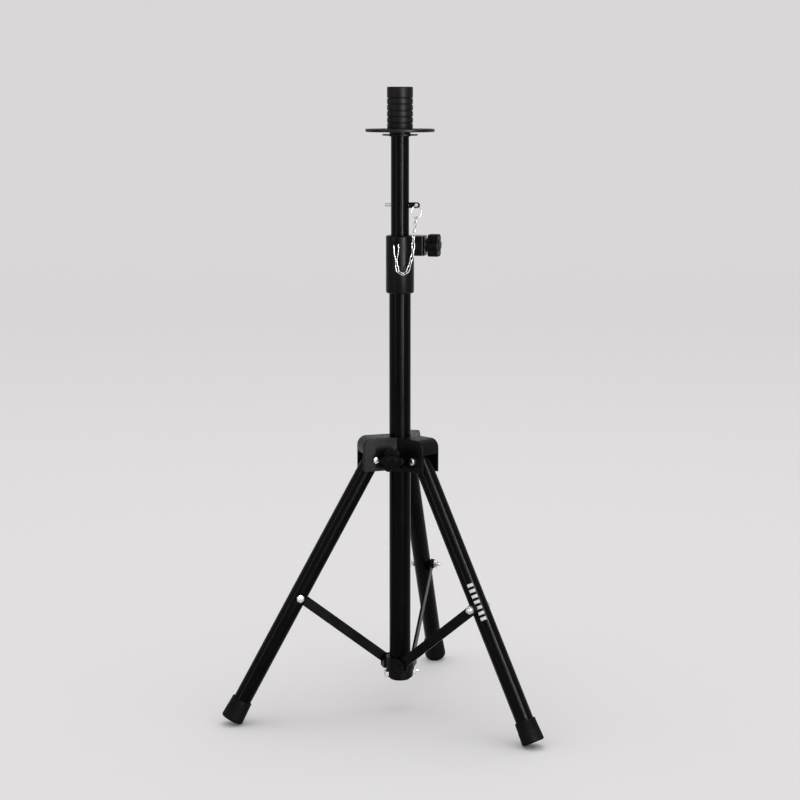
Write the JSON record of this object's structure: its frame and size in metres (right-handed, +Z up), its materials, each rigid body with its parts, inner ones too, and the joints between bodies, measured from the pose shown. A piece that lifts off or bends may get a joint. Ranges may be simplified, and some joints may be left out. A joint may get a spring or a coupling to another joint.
{
  "type": "speaker tripod stand",
  "caption": "Folding tripod stand with a sliding mast, clamp collar, safety pin on a chain, and a ribbed pole adapter with a round rest plate for a loudspeaker.",
  "frame": {"origin": "on the column's axis at floor level", "axes": "+Z up along the column, the clamp knob points along +X, the rear leg along +Y and the hub's lock knob along -Y"},
  "size_m": [0.454, 0.3975, 0.8806],
  "materials": {
    "gloss_tube": "gloss black powder coat",
    "black_plastic": "satin moulded",
    "adapter_plastic": "moulded, fine bead texture",
    "flange_paint": "satin black",
    "guide_plastic": "moulded",
    "foot_rubber": "moulded rubber",
    "zinc": "bright zinc plate",
    "chain_steel": "nickel plate",
    "brace_paint": "gloss black",
    "knob_plastic": "moulded",
    "white_ink": "screen print, plain bars on one leg",
    "brass": "turned"
  },
  "bodies": {
    "column": {"outer_tube": "gloss_tube", "tube_mouth_bush": "guide_plastic", "clamp_collar": "black_plastic", "clamp_insert": "brass", "chain_stud": "brace_paint", "chain_hanger": "chain_steel", "chain_tail": "chain_steel", "lower_bracket": "black_plastic", "bracket_bolt": "zinc", "bracket_nut": "zinc", "brace_pivot_pins": "brace_paint", "tube_end_plug": "black_plastic"},
    "mast": {"mast_tube": "gloss_tube", "mast_end_bush": "guide_plastic", "mast_top_plug": "guide_plastic", "pole_adapter": "adapter_plastic", "adapter_screw": "zinc", "adapter_flange": "flange_paint", "flange_washer": "black_plastic"},
    "pin": {"safety_pin": "zinc", "pin_head": "black_plastic", "pin_ring": "chain_steel", "pin_chain": "chain_steel"},
    "clamp_presser": {"clamp_pad": "guide_plastic"},
    "clamp_handle": {"clamp_screw": "zinc", "clamp_knob": "knob_plastic", "clamp_knob_cap": "knob_plastic"},
    "hub": {"leg_hub": "black_plastic", "hub_insert": "brass", "leg_pivot_bolts": "zinc", "leg_pivot_nuts": "zinc"},
    "hub_presser": {"hub_pad": "guide_plastic"},
    "hub_handle": {"hub_screw": "zinc", "hub_knob": "knob_plastic", "hub_knob_cap": "knob_plastic"},
    "leg_1": {"leg_1_tube": "gloss_tube", "leg_1_insert": "black_plastic", "leg_1_foot": "foot_rubber", "leg_1_brace_bolt": "zinc"},
    "brace_1": {"brace_1_bar": "brace_paint", "brace_1_washer": "black_plastic", "brace_1_nut": "zinc"},
    "leg_2": {"leg_2_tube": "gloss_tube", "leg_2_insert": "black_plastic", "leg_2_foot": "foot_rubber", "leg_2_brace_bolt": "zinc"},
    "brace_2": {"brace_2_bar": "brace_paint", "brace_2_washer": "black_plastic", "brace_2_nut": "zinc"},
    "leg_3": {"leg_3_tube": "gloss_tube", "leg_3_insert": "black_plastic", "leg_3_foot": "foot_rubber", "leg_3_brace_bolt": "zinc"},
    "brace_3": {"brace_3_bar": "brace_paint", "brace_3_washer": "black_plastic", "brace_3_nut": "zinc"}
  },
  "joints": [
    {"name": "mast_slide", "type": "slide", "parent": "column", "child": "mast", "axis": [0, 0, 1], "range_m": [0, 0.45]},
    {"name": "pin_pull", "type": "slide", "parent": "mast", "child": "pin", "axis": [1, 0, 0], "range_m": [0, 0.036]},
    {"name": "clamp_pad_slide", "type": "slide", "parent": "column", "child": "clamp_presser", "axis": [1, 0, 0], "range_m": [0, 0.0025]},
    {"name": "clamp_knob_turn", "type": "hinge", "parent": "clamp_presser", "child": "clamp_handle", "pos_m": [0.045, 0, 0.6652], "axis": [1, 0, 0], "range_deg": [0, 720.5]},
    {"name": "hub_slide", "type": "slide", "parent": "column", "child": "hub", "axis": [0, 0, 1], "range_m": [0, 0.09153]},
    {"name": "hub_pad_slide", "type": "slide", "parent": "hub", "child": "hub_presser", "axis": [0, -1, 0], "range_m": [0, 0.0025]},
    {"name": "hub_knob_turn", "type": "hinge", "parent": "hub_presser", "child": "hub_handle", "pos_m": [0, -0.04, 0.36987], "axis": [0, -1, 0], "range_deg": [0, 720.5]},
    {"name": "leg_1_fold", "type": "hinge", "parent": "hub", "child": "leg_1", "pos_m": [-0.03507, -0.02025, 0.36787], "axis": [0.5, -0.866, 0], "range_deg": [0, 29.71]},
    {"name": "brace_1_swing", "type": "hinge", "parent": "column", "child": "brace_1", "pos_m": [-0.01351, -0.0078, 0.07], "axis": [-0.5, 0.866, 0], "range_deg": [0, 43.09]},
    {"name": "leg_2_fold", "type": "hinge", "parent": "hub", "child": "leg_2", "pos_m": [0.03507, -0.02025, 0.36787], "axis": [0.5, 0.866, 0], "range_deg": [0, 29.71]},
    {"name": "brace_2_swing", "type": "hinge", "parent": "column", "child": "brace_2", "pos_m": [0.01351, -0.0078, 0.07], "axis": [-0.5, -0.866, 0], "range_deg": [0, 43.09]},
    {"name": "leg_3_fold", "type": "hinge", "parent": "hub", "child": "leg_3", "pos_m": [0, 0.0405, 0.36787], "axis": [-1, 0, 0], "range_deg": [0, 29.71]},
    {"name": "brace_3_swing", "type": "hinge", "parent": "column", "child": "brace_3", "pos_m": [0, 0.0156, 0.07], "axis": [1, 0, 0], "range_deg": [0, 43.09]}
  ],
  "couplings": [
    {"joint": "clamp_knob_turn", "follows": "clamp_pad_slide", "rad_per_m": 5026.5},
    {"joint": "hub_knob_turn", "follows": "hub_pad_slide", "rad_per_m": 5026.5},
    {"joint": "leg_1_fold", "follows": "hub_slide", "rad_per_m": 5.6613},
    {"joint": "brace_1_swing", "follows": "hub_slide", "rad_per_m": 8.2123},
    {"joint": "leg_2_fold", "follows": "hub_slide", "rad_per_m": 5.6613},
    {"joint": "brace_2_swing", "follows": "hub_slide", "rad_per_m": 8.2123},
    {"joint": "leg_3_fold", "follows": "hub_slide", "rad_per_m": 5.6613},
    {"joint": "brace_3_swing", "follows": "hub_slide", "rad_per_m": 8.2123}
  ]
}
